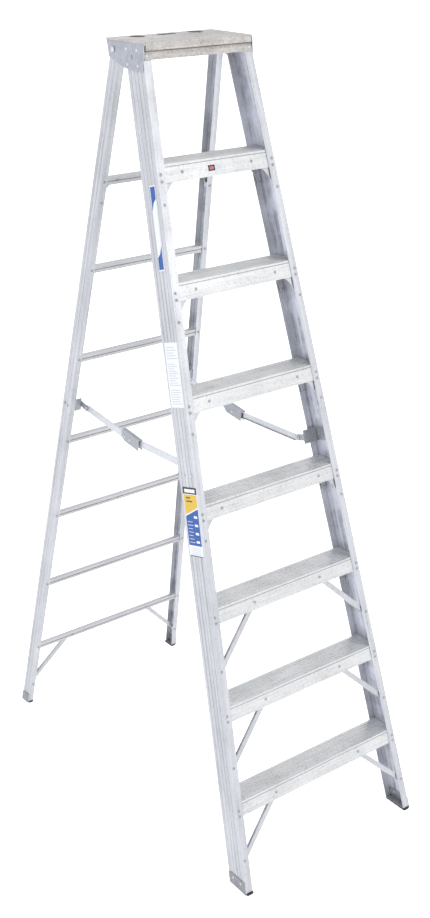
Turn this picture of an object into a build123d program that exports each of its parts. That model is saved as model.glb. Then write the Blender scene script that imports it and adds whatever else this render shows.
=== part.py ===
from build123d import *
import os
from math import atan2, cos, degrees, hypot, radians, sin, sqrt, tan

os.makedirs("parts", exist_ok=True)

# Aluminium step ladder, standing open. Millimetres, +Z up, the steps face -Y.
# Places on the front and rear sections are given as (across, up the rail), and as a depth behind
# the front face of that section's rails.

# ---- driving dimensions --------------------------------------------------------------------
FRONT_LEAN = 16.7            # degrees, front section from the vertical
REAR_LEAN = 13.0             # degrees, rear section from the vertical when open
FRONT_TAPER = 4.14           # degrees, each front rail towards the middle
REAR_TAPER = 4.20            # degrees, each rear rail towards the middle
FRONT_HALF = 354.0           # half the width over the front rails at the floor

STEP_COUNT = 7
STEP_PITCH = 304.8           # up the front rail, from one step to the next
CAP_RISE = 299.0             # up the front rail, from the top step to the top of the cap

FRONT_DEPTH = 80.0           # front rail, front to back
FRONT_FLANGE = 25.0          # width of its flanges
REAR_DEPTH = 42.0
REAR_FLANGE = 20.0
RAIL_ABOVE_BOLT = 12.0       # rear rail beyond the pivot bolt
RAIL_END_R = 9.0
WEB_WALL = 2.4
FLANGE_WALL = 2.2
FLUTE_WIDTH = 7.0            # lengthwise grooves rolled into the webs
FLUTE_CUT = 0.8
FRONT_FLUTES = 4
REAR_FLUTES = 2

TREAD_WALL = 2.0
APRON = 47.0                 # height of a step's front and rear faces, along the rail
TREAD_RIB = 3.0
TREAD_RIB_HEIGHT = 1.2
TREAD_RIB_PITCH = 8.4
TREAD_RIBS = 8
END_GAP = 0.4                # between a cut end and the web beside it

BAR_COUNT = 7
BAR_FIRST = 275.0            # up the rear rail, floor to the lowest bar
BAR_PITCH = 294.0
BAR_LAST_PITCH = 264.0
BAR_HEIGHT = 22.0
BAR_DEPTH = 13.0
BAR_WALL = 1.6
BAR_GROOVE = 3.6

CAP_DEPTH = 183.0
CAP_WALL = 3.5
CAP_EDGE = CAP_WALL / 3      # rounding of the cap's upper edges
CAP_LIP = 19.0               # height of the cap's front face
CAP_REAR_LIP = 14.0
CAP_CORNER = 5.0
CAP_OVERHANG = 0.6
CAP_PROUD = 3.0              # cap's front face ahead of the rails at the band's lower edge
CAP_HEIGHT = 41.0            # top of the cap to the lower edge of the band
TOOL_HOLE_R = 22.0
TOOL_HOLE_OUT = 0.543        # hole centres, as a part of half the cap's length
TOOL_HOLE_EDGE = 32.0        # hole centres to the cap's rear edge
TOOL_SLOT = 62.0
TOOL_SLOT_WIDTH = 24.0
BAND_WALL = 2.5

PLATE_WALL = 1.6
PLATE_CORNER = 4.0
# Side plate, as (behind the cap's front, below the cap's top).
PLATE_TOP = CAP_WALL + 0.5
PLATE_OUTLINE = [
    (1.5, PLATE_TOP), (1.5, 69.0), (66.0, 68.0), (99.0, 65.0), (168.0, 44.0), (181.0, PLATE_TOP),
]
PLATE_TAB = (12.0, 90.0)     # tab bent in under the cap: its ends behind the cap's front
PLATE_TAB_WIDTH = 14.0
PLATE_RIVETS = [(35.0, 19.0), (84.0, 19.0), (27.0, 56.0), (75.0, 56.0)]
PLATE_OVAL = (56.0, 37.0)
PLATE_OVAL_R = 6.0
BOLT_R = 4.0
BOLT_HEAD_R = 7.5
BOLT_HEAD = 4.5
BOLT_DOME = 2.7              # rounding of the bolt's head
BOLT_END = 2.0
NUT = 6.5
NUT_R = 7.5
NUT_GAP = 1.0                # keeps the nut clear of the rear rail as it swings
BOLT_DROP = 26.0             # cap top to the pivot bolts
BOLT_DEPTH = 134.0           # pivot bolts behind the front face of the front rails
BOLT_IN_REAR = 27.0          # pivot bolts behind the front face of the rear rails
SPACER = 2.0                 # between side plate and rear rail
SPACER_R = 7.0
SPACER_PLAY = 0.4
RUNNING = 0.08               # radial clearance of the pivots

RIVET_R = 2.3
RIVET_HEAD_R = 4.4
RIVET_HEAD = 2.0
RIVET_TAPER = 30.0
RIVET_TAIL = 1.2
RIVET_TAIL_R = 3.4
HOLE_PLAY = 0.1
RIVET_IN = 10.5              # rivets from the outer corner of a rail
STEP_RIVET_DROP = 33.0       # below the step's front edge, middle of each pair
STEP_RIVET_PAIR = 18.0

GUSSET_WALL = 2.0
GUSSET_EDGE = 7.5            # rivet to the edge of the sheet
GUSSET_HOLLOW = 0.32         # middle of the curved edge, as a part of the way out
GUSSET_REACH = 82.0          # across, from the rail's corner to the rivet in the apron
GUSSET_FALL = 101.0          # from the step's front edge down to the rivet in the rail
BRACE_REACH = 160.5
BRACE_FALL = 190.0
BRACE_STEPS = 3              # lowest steps, with long braces
BRACE_RIVET_DROP = 24.0
BRACE_WIDTH = 15.0
BRACE_DEPTH = 10.0
BRACE_WALL = 1.8
REAR_BRACE_REACH = 160.0
REAR_BRACE_LOW = 92.0        # up the rear rail, to the lower rivet
REAR_GUSSET_REACH = 56.0
REAR_GUSSET_FALL = 60.0

PAD_HEIGHT = 6.0
PAD_LIP = 3.0
PAD_IN = 3.0                 # pad inside the rail's outer face at the floor
PAD_GROOVE = 2.4
PAD_GROOVES = 4
BOOT_WALL = 2.0
BOOT_TOP = 40.0
BOOT_LOW = 1.5               # outer plate's lower edge above the floor
BOOT_RIVET_Z = 27.0
FRONT_BOOT_RIVETS = [22.0, 58.0]     # behind the rail's front face
REAR_BOOT_RIVETS = [21.0]

SPREADER_STEP = 4            # the spreaders' front pivots are above this step
SPREADER_RISE = 89.0
SPREADER_BACK = 95.0         # front pivots behind the rails' front face
SPREADER_REAR_UP = 1287.0    # rear pivots, up the rear rail
SPREADER_AHEAD = 25.0        # rear pivots ahead of the rear rails' front face
SPREADER_SAG = 22.0          # middle joint below the straight line when locked open
SPREADER_INSET = 53.0        # rear rail's outer face to the joint face between the two arms
ARM_HEIGHT = 21.0
ARM_WIDTH = 6.0
ARM_WALL = 1.5
ARM_GAP = 0.3
PIN_R = 3.0
PIN_HEAD_R = 6.0
PIN_HEAD = 2.0
PIN_TAPER = 25.0
LUG_WALL = 2.0
LUG_R = 10.0
BRACKET_HEIGHT = 42.0
FORE_BRACKET_END = 66.0      # front bracket's cross plate, behind the rail's front face
FORE_BRACKET_RIVETS = [19.0, 54.0]
AFT_BRACKET_RIVETS = [12.0, 30.0]
HOOD_WALL = 1.5
HOOD_FORE = 46.0
HOOD_AFT = 44.0
HOOD_TOP = ARM_HEIGHT / 2 + 8.0
HOOD_SKIRT = 15.0
HOOD_PIN = 0.6               # second pin, as a part of the hood's length behind the joint

LABEL = 0.3
# Labels on the left web, as (behind the front face, width, step pitches up the rail, height).
WEB_LABELS = [(24.0, 21.0, 6.145, 221.0), (11.0, 59.0, 4.934, 178.0), (6.0, 64.0, 3.527, 202.0)]
STEP_LABEL = (50.0, 18.0)
STEP_LABEL_X = -7.0

# ---- places worked out from them -----------------------------------------------------------
sin_f, cos_f, tan_f = sin(radians(FRONT_LEAN)), cos(radians(FRONT_LEAN)), tan(radians(FRONT_LEAN))
sin_r, cos_r, tan_r = sin(radians(REAR_LEAN)), cos(radians(REAR_LEAN)), tan(radians(REAR_LEAN))
tan_ft, tan_rt = tan(radians(FRONT_TAPER)), tan(radians(REAR_TAPER))
cos_ft, cos_rt = cos(radians(FRONT_TAPER)), cos(radians(REAR_TAPER))

CAP_TOP = (STEP_COUNT * STEP_PITCH + CAP_RISE) * cos_f
BOLT_Z = CAP_TOP - BOLT_DROP
BOLT_UP = (BOLT_Z + BOLT_DEPTH * sin_f) / cos_f                 # up the front rail
BOLT_BACK = BOLT_UP * sin_f + BOLT_DEPTH * cos_f                # behind the front rails' foot
STANCE = BOLT_BACK - BOLT_IN_REAR / cos_r + BOLT_Z * tan_r      # front face to front face, floor
FRONT_Y = -(STANCE + REAR_DEPTH / cos_r) / 2
REAR_Y = FRONT_Y + STANCE
BOLT_Y = FRONT_Y + BOLT_BACK
BOLT_UP_REAR = (BOLT_Z - BOLT_IN_REAR * sin_r) / cos_r          # up the rear rail
FOOT_Z = PAD_HEIGHT + BOOT_WALL

# Face planes: x across, y up the rails, z out of the front face (FRONT_REAR: out of the rear of the
# front rails). Section planes: x back through the depth, y up the rails, z across.
FRONT_FACE = Plane(origin=(0, FRONT_Y, 0), x_dir=(1, 0, 0), z_dir=(0, -cos_f, sin_f))
REAR_FACE = Plane(origin=(0, REAR_Y, 0), x_dir=(1, 0, 0), z_dir=(0, -cos_r, -sin_r))
FRONT_REAR = Plane(
    origin=(0, FRONT_Y + FRONT_DEPTH * cos_f, -FRONT_DEPTH * sin_f),
    x_dir=(-1, 0, 0), z_dir=(0, cos_f, -sin_f),
)
FRONT_SECTION = Plane(origin=(0, FRONT_Y, 0), x_dir=(0, cos_f, -sin_f), z_dir=(1, 0, 0))
REAR_SECTION = Plane(origin=(0, REAR_Y, 0), x_dir=(0, cos_r, sin_r), z_dir=(1, 0, 0))


def front_half(up):
    """Half the width over the front rails at a place up the rail."""
    return FRONT_HALF - up * tan_ft


# The rear rails stand inside the side plates, a spacer apart.
REAR_HALF = front_half(BOLT_UP) - SPACER + BOLT_UP_REAR * tan_rt


def rear_half(up):
    """Half the width over the rear rails at a place up the rail."""
    return REAR_HALF - up * tan_rt


def rail_frame(foot_y, half, lean, taper):
    """Left rail's own plane: x from its outer corner inwards, y back, z up the rail."""
    a, b = radians(lean), radians(taper)
    return Plane(
        origin=(-half, foot_y, 0),
        x_dir=(cos(b), -sin(a) * sin(b), -cos(a) * sin(b)),
        z_dir=(sin(b), sin(a) * cos(b), cos(a) * cos(b)),
    )


def web_plane(rail, inset):
    """Plane of a left rail's web, inset from its outer face: x back, y up the rail."""
    return Plane(
        origin=rail.from_local_coords((inset, 0, 0)), x_dir=rail.y_dir, z_dir=rail.x_dir
    )


def finish(name, part):
    """Label a piece and write its file."""
    part.label = name
    export_step(part, f"parts/{name}.step")


def finish_pair(name, part):
    """Write the left-hand piece and its mirror image."""
    finish(f"{name}_left", part)
    with BuildPart() as right:
        mirror(part, about=Plane.YZ)
    finish(f"{name}_right", right.part)


FRONT_RAIL = rail_frame(FRONT_Y, FRONT_HALF, FRONT_LEAN, FRONT_TAPER)
REAR_RAIL = rail_frame(REAR_Y, REAR_HALF, -REAR_LEAN, REAR_TAPER)

steps = [STEP_PITCH * (i + 1) for i in range(STEP_COUNT)]
bars = [BAR_FIRST + BAR_PITCH * i for i in range(BAR_COUNT - 1)]
bars.append(bars[-1] + BAR_LAST_PITCH)
tread_run = FRONT_DEPTH - 2 * FLANGE_WALL
rear_edge_rise = tread_run * tan_f           # a level tread meets the rear flange further up

# Rivet places on the left of the front section, as (across, up).
step_front = [
    (-front_half(s - STEP_RIVET_DROP) + RIVET_IN, s - STEP_RIVET_DROP + side * STEP_RIVET_PAIR / 2)
    for s in steps
    for side in (-1, 1)
]


def stay_ends(step, reach, fall):
    """Apron rivet and rail rivet of a gusset or brace on the left, as (across, up)."""
    top = step - BRACE_RIVET_DROP
    low = step - fall
    return (reach - front_half(top), top), (RIVET_IN - front_half(low), low)


long_stays = [stay_ends(s, BRACE_REACH, BRACE_FALL) for s in steps[:BRACE_STEPS]]
short_stays = [stay_ends(s, GUSSET_REACH, GUSSET_FALL) for s in steps[BRACE_STEPS:]]
rear_stays = [stay_ends(s, GUSSET_REACH, GUSSET_FALL) for s in steps]


def at_rear_edge(places):
    """The same places on the left rail's rear flange, further up and nearer the middle."""
    return [(x + rear_edge_rise * tan_ft, up + rear_edge_rise) for x, up in places]


def both_sides(places):
    """The same places on the left and on the right."""
    return places + [(-x, up) for x, up in places]


def mirrored(plane):
    """The plane on the right-hand side that mirrors one on the left."""
    at, normal = plane.origin, plane.z_dir
    return Plane(origin=(-at.X, at.Y, at.Z), z_dir=(-normal.X, normal.Y, normal.Z))


step_rear = at_rear_edge(step_front)
front_lows = [low for _, low in long_stays + short_stays]
front_tops = [top for top, _ in long_stays + short_stays]
rear_lows = at_rear_edge([low for _, low in rear_stays])
rear_tops = at_rear_edge([top for top, _ in rear_stays])
front_flange_rivets = step_front + front_lows
rear_flange_rivets = step_rear + rear_lows
front_apron_rivets = step_front + front_tops
rear_apron_rivets = step_rear + rear_tops

bar_rivets = [(RIVET_IN - rear_half(b), b) for b in bars]
rear_brace_ends = (
    (REAR_BRACE_REACH - rear_half(bars[0]), bars[0]),
    (RIVET_IN - rear_half(REAR_BRACE_LOW), REAR_BRACE_LOW),
)
rear_gusset_ends = (
    (REAR_GUSSET_REACH - rear_half(bars[-1]), bars[-1]),
    (RIVET_IN - rear_half(bars[-1] - REAR_GUSSET_FALL), bars[-1] - REAR_GUSSET_FALL),
)
rear_rail_rivets = bar_rivets + [rear_brace_ends[1], rear_gusset_ends[1]]
hole_r = RIVET_R + HOLE_PLAY

# The band under the cap's front lip, and its rivets.
band_low = (CAP_TOP - CAP_HEIGHT) / cos_f
band_top = (CAP_TOP - CAP_LIP - 1) / cos_f
band_rivets = [(RIVET_IN - front_half(band_low), (band_low + band_top) / 2)]

# Spreader pivots, seen from the side as (y, z), and the two arms' lengths: the arms lock just
# below the straight line when open, and lie along the rails when the ladder is closed.
spreader_up = SPREADER_STEP * STEP_PITCH + SPREADER_RISE
fore = FRONT_SECTION.from_local_coords((SPREADER_BACK, spreader_up, 0))
aft = REAR_SECTION.from_local_coords((-SPREADER_AHEAD, SPREADER_REAR_UP, 0))
span = hypot(aft.Y - fore.Y, aft.Z - fore.Z)
closed_rise = SPREADER_REAR_UP - BOLT_UP_REAR + BOLT_UP - spreader_up
closed_offset = SPREADER_BACK - (BOLT_DEPTH - BOLT_IN_REAR - SPREADER_AHEAD)
reach_sum = span + 2 * SPREADER_SAG**2 / span
FORE_ARM = (reach_sum**2 - closed_rise**2 - closed_offset**2) / (2 * (reach_sum - closed_rise))
AFT_ARM = reach_sum - FORE_ARM
line_angle = atan2(aft.Z - fore.Z, aft.Y - fore.Y)
fore_run = (FORE_ARM**2 - AFT_ARM**2 + span**2) / (2 * span)
fore_drop = sqrt(FORE_ARM**2 - fore_run**2)
middle_y = fore.Y + fore_run * cos(line_angle) + fore_drop * sin(line_angle)
middle_z = fore.Z + fore_run * sin(line_angle) - fore_drop * cos(line_angle)
fore_angle = degrees(atan2(middle_z - fore.Z, middle_y - fore.Y))
aft_angle = degrees(atan2(aft.Z - middle_z, aft.Y - middle_y))
JOINT_FACE_X = rear_half(SPREADER_REAR_UP) - SPREADER_INSET     # between the two arms

# Side plates: their outline and rivets as (behind the cap's front, below the cap's top).
cap_front = FRONT_Y + (CAP_TOP - CAP_HEIGHT) * tan_f - CAP_PROUD


def on_web(back, below):
    """A place on the front rail's web, from its distances behind and below the cap's front."""
    y, z = cap_front + back - FRONT_Y, CAP_TOP - below
    return y * cos_f - z * sin_f, (y * sin_f + z * cos_f) / cos_ft


plate_rivets = [on_web(*at) for at in PLATE_RIVETS]
fore_bracket_rivets = [(back, spreader_up / cos_ft) for back in FORE_BRACKET_RIVETS]
aft_bracket_rivets = [(back, SPREADER_REAR_UP / cos_rt) for back in AFT_BRACKET_RIVETS]
front_boot_rivets = [
    (back, (BOOT_RIVET_Z + back * sin_f) / cos_f / cos_ft) for back in FRONT_BOOT_RIVETS
]
rear_boot_rivets = [
    (back, (BOOT_RIVET_Z - back * sin_r) / cos_r / cos_rt) for back in REAR_BOOT_RIVETS
]

# ---- rails ---------------------------------------------------------------------------------


def rail_profile(depth, flange, flutes):
    """Channel section, web outwards, with a fluted web."""
    Rectangle(flange, depth, align=Align.MIN)
    with Locations((WEB_WALL, FLANGE_WALL)):
        Rectangle(flange, depth - 2 * FLANGE_WALL, align=Align.MIN, mode=Mode.SUBTRACT)
    with Locations(*[(FLUTE_CUT / 2, depth * (i + 1) / (flutes + 1)) for i in range(flutes)]):
        Rectangle(FLUTE_CUT, FLUTE_WIDTH, mode=Mode.SUBTRACT)


with BuildPart() as front_rail:
    with BuildSketch(FRONT_RAIL):
        rail_profile(FRONT_DEPTH, FRONT_FLANGE, FRONT_FLUTES)
    extrude(amount=CAP_TOP / cos_f)
    split(bisect_by=Plane.XY.offset(FOOT_Z), keep=Keep.TOP)
    split(bisect_by=Plane.XY.offset(CAP_TOP - CAP_WALL - PLATE_WALL), keep=Keep.BOTTOM)
    with BuildSketch(FRONT_FACE.offset(1)):
        with Locations(*front_flange_rivets, *band_rivets):
            Circle(hole_r)
    extrude(amount=-FLANGE_WALL - 2, mode=Mode.SUBTRACT)
    with BuildSketch(FRONT_FACE.offset(-FRONT_DEPTH - 1)):
        with Locations(*rear_flange_rivets):
            Circle(hole_r)
    extrude(amount=FLANGE_WALL + 2, mode=Mode.SUBTRACT)
    with BuildSketch(web_plane(FRONT_RAIL, -1)):
        with Locations(*plate_rivets, *fore_bracket_rivets, *front_boot_rivets):
            Circle(hole_r)
    extrude(amount=WEB_WALL + 2, mode=Mode.SUBTRACT)
finish_pair("front_rail", front_rail.part)

rear_top = (BOLT_UP_REAR + RAIL_ABOVE_BOLT) / cos_rt
with BuildPart() as rear_rail:
    with BuildSketch(REAR_RAIL):
        rail_profile(REAR_DEPTH, REAR_FLANGE, REAR_FLUTES)
    extrude(amount=rear_top)
    with BuildSketch(web_plane(REAR_RAIL, 0)):
        RectangleRounded(REAR_DEPTH, rear_top * 2, RAIL_END_R, align=(Align.MIN, Align.CENTER))
    extrude(amount=REAR_FLANGE, mode=Mode.INTERSECT)
    split(bisect_by=Plane.XY.offset(FOOT_Z), keep=Keep.TOP)
    with BuildSketch(REAR_FACE.offset(1)):
        with Locations(*rear_rail_rivets):
            Circle(hole_r)
    extrude(amount=-FLANGE_WALL - 2, mode=Mode.SUBTRACT)
    with BuildSketch(web_plane(REAR_RAIL, -1)):
        with Locations(*aft_bracket_rivets, *rear_boot_rivets):
            Circle(hole_r)
    extrude(amount=WEB_WALL + 2, mode=Mode.SUBTRACT)
    with BuildSketch(Plane.YZ.offset(-REAR_HALF)):
        with Locations((BOLT_Y, BOLT_Z)):
            Circle(BOLT_R + RUNNING)
    extrude(amount=REAR_HALF, mode=Mode.SUBTRACT)
finish_pair("rear_rail", rear_rail.part)

# ---- steps and bars ------------------------------------------------------------------------


def trim_to_webs(rail):
    """Cut both ends of a crosspiece to the tapering webs."""
    end = web_plane(rail, WEB_WALL + END_GAP)
    split(bisect_by=end, keep=Keep.TOP)
    split(bisect_by=mirrored(end), keep=Keep.TOP)


def drill(face, places, wall):
    """Rivet holes on both sides, through a wall that starts at the face plane."""
    with BuildSketch(face.offset(1)) as holes:
        with Locations(*both_sides(places)):
            Circle(hole_r)
    extrude(holes.sketch, amount=-wall - 2, mode=Mode.SUBTRACT)


front_skin, rear_skin = FLANGE_WALL, FRONT_DEPTH - FLANGE_WALL     # depths the aprons lie at
tread_slant = TREAD_WALL / cos_f
for number, up in enumerate(steps, 1):
    rear_up = up + rear_edge_rise
    under_front = up + TREAD_WALL * tan_f - tread_slant
    under_rear = rear_up - TREAD_WALL * tan_f - tread_slant
    with BuildPart() as step:
        with BuildSketch(FRONT_SECTION) as profile:
            with BuildLine():
                Polyline(
                    (front_skin, up),
                    (front_skin, up - APRON),
                    (front_skin + TREAD_WALL, up - APRON),
                    (front_skin + TREAD_WALL, under_front),
                    (rear_skin - TREAD_WALL, under_rear),
                    (rear_skin - TREAD_WALL, rear_up - APRON),
                    (rear_skin, rear_up - APRON),
                    (rear_skin, rear_up),
                    close=True,
                )
            make_face()
            tread = Location((front_skin + tread_run / 2, up + rear_edge_rise / 2), FRONT_LEAN)
            with Locations(tread):
                with GridLocations(TREAD_RIB_PITCH, 1, TREAD_RIBS, 1):
                    Rectangle(TREAD_RIB, 2 * TREAD_RIB_HEIGHT)
        extrude(amount=front_half(up), both=True)
        trim_to_webs(FRONT_RAIL)
        near = [p for p in front_apron_rivets if up - APRON < p[1] < up]
        drill(FRONT_FACE.offset(-front_skin), near, TREAD_WALL)
        near = [p for p in rear_apron_rivets if rear_up - APRON < p[1] < rear_up]
        drill(FRONT_FACE.offset(-rear_skin + TREAD_WALL), near, TREAD_WALL)
    finish(f"step_{number}", step.part)

for number, up in enumerate(bars, 1):
    face_up = Location((FLANGE_WALL, up))
    with BuildPart() as bar:
        with BuildSketch(REAR_SECTION):
            with Locations(face_up):
                Rectangle(BAR_DEPTH, BAR_HEIGHT, align=(Align.MIN, Align.CENTER))
            with Locations(Location((FLANGE_WALL + BAR_WALL, up))):
                Rectangle(
                    BAR_DEPTH, BAR_HEIGHT - 2 * BAR_WALL,
                    align=(Align.MIN, Align.CENTER), mode=Mode.SUBTRACT,
                )
            with Locations(face_up):
                Rectangle(
                    BAR_GROOVE, BAR_GROOVE + 2 * BAR_WALL, align=(Align.MIN, Align.CENTER)
                )
                Rectangle(
                    BAR_GROOVE - BAR_WALL, BAR_GROOVE,
                    align=(Align.MIN, Align.CENTER), mode=Mode.SUBTRACT,
                )
        extrude(amount=rear_half(up), both=True)
        trim_to_webs(REAR_RAIL)
        ends = [p for p in bar_rivets + [rear_brace_ends[0], rear_gusset_ends[0]] if p[1] == up]
        drill(REAR_FACE.offset(-FLANGE_WALL), ends, BAR_GROOVE)
    finish(f"rear_bar_{number}", bar.part)

# ---- braces and gussets: left-hand ones, behind the flange and the apron --------------------


def brace(face, depth, top, low, foot):
    """Channel brace between two rivets, its web at a depth behind the face plane.

    Its lower end is pressed forward to meet the flange, which ends at the depth given as foot.
    """
    run = hypot(top[0] - low[0], top[1] - low[1])
    layer = face.offset(-depth)
    along = layer.from_local_coords(Vector(*top)) - layer.from_local_coords(Vector(*low))
    lie = Plane(layer.from_local_coords(Vector(*low)), x_dir=along, z_dir=layer.z_dir)
    end_r = BRACE_WIDTH / 2
    with BuildPart() as piece:
        with BuildSketch(lie):
            with Locations((run / 2, 0)):
                SlotCenterToCenter(run, BRACE_WIDTH)
            with Locations((0, 0), (run, 0)):
                Circle(hole_r, mode=Mode.SUBTRACT)
        extrude(amount=-BRACE_WALL)
        with BuildSketch(lie.offset(-BRACE_WALL)):
            for edge in (-1, 1):
                with Locations((run / 2, edge * (end_r - BRACE_WALL / 2))):
                    Rectangle(run - 2 * BRACE_WIDTH, BRACE_WALL)
        extrude(amount=BRACE_WALL - BRACE_DEPTH)
        with BuildSketch(lie):
            Circle(end_r)
            Circle(hole_r, mode=Mode.SUBTRACT)
        extrude(amount=depth - foot)
    return piece.part


def gusset(face, depth, top, low, foot, shared=()):
    """Flat gusset with a hollowed free edge, in a plane at a depth behind the face plane.

    Its lower end is pressed forward or back to meet the flange, at the depth given as foot.
    It also has holes for the rivets it shares with the step.
    """
    x0, x1 = low[0] - GUSSET_EDGE, top[0] + GUSSET_EDGE
    up0, up1 = low[1] - GUSSET_EDGE, top[1] + GUSSET_EDGE
    step_in = low[0] + GUSSET_EDGE, top[1] - GUSSET_EDGE
    hollow = (
        step_in[0] + GUSSET_HOLLOW * (x1 - step_in[0]),
        step_in[1] - GUSSET_HOLLOW * (step_in[1] - up0),
    )
    lean_in = (up1 - up0) * tan_ft
    with BuildPart() as piece:
        with BuildSketch(face.offset(-depth)):
            with BuildLine():
                Line((x0, up0), (step_in[0], up0))
                ThreePointArc((step_in[0], up0), hollow, (x1, step_in[1]))
                Polyline((x1, step_in[1]), (x1, up1), (x0 + lean_in, up1), (x0, up0))
            make_face()
            with Locations(top, low, *shared):
                Circle(hole_r, mode=Mode.SUBTRACT)
        extrude(amount=-GUSSET_WALL)
        near_side = depth if foot < depth else depth + GUSSET_WALL
        with BuildSketch(face.offset(-near_side)):
            with Locations(low):
                Rectangle(2 * GUSSET_EDGE, 2 * GUSSET_EDGE)
                Circle(hole_r, mode=Mode.SUBTRACT)
        extrude(amount=near_side - foot)
    return piece.part


stay_depth = front_skin + TREAD_WALL
rear_stay_depth = rear_skin - TREAD_WALL - GUSSET_WALL
bar_back = FLANGE_WALL + BAR_DEPTH
with BuildPart() as front_braces:
    for top, low in long_stays:
        add(brace(FRONT_FACE, stay_depth, top, low, front_skin))
finish_pair("front_braces", front_braces.part)

with BuildPart() as front_gussets:
    for number, (top, low) in enumerate(short_stays, BRACE_STEPS):
        shared = step_front[2 * number:2 * number + 2]
        add(gusset(FRONT_FACE, stay_depth, top, low, front_skin, shared))
    mirror(about=Plane.YZ)
finish("front_gussets", front_gussets.part)

with BuildPart() as rear_gussets:
    for number, (top, low) in enumerate(zip(rear_tops, rear_lows)):
        shared = step_rear[2 * number:2 * number + 2]
        add(gusset(FRONT_FACE, rear_stay_depth, top, low, rear_skin, shared))
    mirror(about=Plane.YZ)
finish("rear_gussets", rear_gussets.part)

finish_pair("rear_brace", brace(REAR_FACE, bar_back, *rear_brace_ends, FLANGE_WALL))

with BuildPart() as rear_bar_gussets:
    add(gusset(REAR_FACE, bar_back, *rear_gusset_ends, FLANGE_WALL))
    mirror(about=Plane.YZ)
finish("rear_bar_gussets", rear_bar_gussets.part)

# ---- cap, band and side plates --------------------------------------------------------------
cap_mid = cap_front + CAP_DEPTH / 2
cap_half = front_half(CAP_TOP / cos_f) + PLATE_WALL + CAP_OVERHANG
hole_x = TOOL_HOLE_OUT * cap_half
hole_y = cap_front + CAP_DEPTH - TOOL_HOLE_EDGE

with BuildPart() as top_cap:
    with BuildSketch(Plane.XY.offset(CAP_TOP)):
        with Locations((0, cap_mid)):
            RectangleRounded(2 * cap_half, CAP_DEPTH, CAP_CORNER)
        with Locations((-hole_x, hole_y), (hole_x, hole_y)):
            Circle(TOOL_HOLE_R, mode=Mode.SUBTRACT)
        with Locations((0, hole_y)):
            SlotOverall(TOOL_SLOT, TOOL_SLOT_WIDTH, mode=Mode.SUBTRACT)
    extrude(amount=-CAP_WALL)
    lip_run = 2 * (cap_half - CAP_CORNER)
    with BuildSketch(Plane.XY.offset(CAP_TOP)):
        with Locations((0, cap_front)):
            Rectangle(lip_run, CAP_WALL, align=(Align.CENTER, Align.MIN))
    extrude(amount=-CAP_LIP)
    with BuildSketch(Plane.XY.offset(CAP_TOP)):
        with Locations((0, cap_front + CAP_DEPTH)):
            Rectangle(lip_run, CAP_WALL, align=(Align.CENTER, Align.MAX))
    extrude(amount=-CAP_REAR_LIP)
    top_edges = top_cap.edges().filter_by(Plane.XY).group_by(Axis.Z)[-1]
    fillet(top_edges, CAP_EDGE)
finish("top_cap", top_cap.part)

# The band lies flat on the front flanges.
with BuildPart() as cap_front_band:
    with BuildSketch(FRONT_FACE):
        with Locations((0, band_low)):
            Rectangle(
                2 * front_half(band_top), band_top - band_low, align=(Align.CENTER, Align.MIN)
            )
    extrude(amount=BAND_WALL)
    drill(FRONT_FACE.offset(BAND_WALL), band_rivets, BAND_WALL)
finish("cap_front_band", cap_front_band.part)

with BuildPart() as side_plate:
    with BuildSketch(web_plane(FRONT_RAIL, 0)) as outline:
        with BuildLine():
            Polyline(*[on_web(*at) for at in PLATE_OUTLINE], close=True)
        make_face()
        fillet(outline.vertices(), PLATE_CORNER)
        with Locations(*plate_rivets):
            Circle(hole_r, mode=Mode.SUBTRACT)
        with Locations(on_web(*PLATE_OVAL)):
            Ellipse(PLATE_OVAL_R / 2, PLATE_OVAL_R, mode=Mode.SUBTRACT)
    extrude(amount=-PLATE_WALL)
    with BuildSketch(Plane.YZ.offset(-FRONT_HALF)):
        with Locations((BOLT_Y, BOLT_Z)):
            Circle(BOLT_R + RUNNING)
    extrude(amount=FRONT_HALF, mode=Mode.SUBTRACT)
    with BuildSketch(Plane.XY.offset(CAP_TOP - CAP_WALL)):
        with Locations((-front_half(CAP_TOP / cos_f), cap_front + sum(PLATE_TAB) / 2)):
            Rectangle(
                PLATE_TAB_WIDTH, PLATE_TAB[1] - PLATE_TAB[0], align=(Align.MIN, Align.CENTER)
            )
    extrude(amount=-PLATE_WALL)
    fillet(side_plate.edges().filter_by(Axis.Z).group_by(Axis.X)[-1], PLATE_CORNER)
finish_pair("side_plate", side_plate.part)

# ---- pivot bolts ----------------------------------------------------------------------------
plate_x = front_half(BOLT_UP)                            # plate's inner face at the bolt
head_x = plate_x + (PLATE_WALL + BOLT_HEAD_R * tan_ft)   # clears the slope of the plate
nut_x = rear_half(BOLT_UP_REAR) - WEB_WALL - NUT_GAP


def across(x, y, z):
    """Plane on the left facing outwards across the ladder, for pins and bolts."""
    return Plane(origin=(-x, y, z), x_dir=(0, 1, 0), z_dir=(-1, 0, 0))


with BuildPart() as pivot_bolts:
    with BuildSketch(across(head_x, BOLT_Y, BOLT_Z)):
        Circle(BOLT_HEAD_R)
    extrude(amount=BOLT_HEAD)
    fillet(pivot_bolts.faces().sort_by(Axis.X)[0].edges(), BOLT_DOME)
    with BuildSketch(across(head_x, BOLT_Y, BOLT_Z)):
        Circle(BOLT_R)
    extrude(amount=nut_x - NUT - BOLT_END - head_x)
    mirror(about=Plane.YZ)
finish("pivot_bolts", pivot_bolts.part)

with BuildPart() as pivot_nuts:
    with BuildSketch(across(nut_x, BOLT_Y, BOLT_Z)):
        RegularPolygon(NUT_R, 6)
        Circle(BOLT_R + HOLE_PLAY, mode=Mode.SUBTRACT)
    extrude(amount=-NUT)
    mirror(about=Plane.YZ)
finish("pivot_nuts", pivot_nuts.part)

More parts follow.
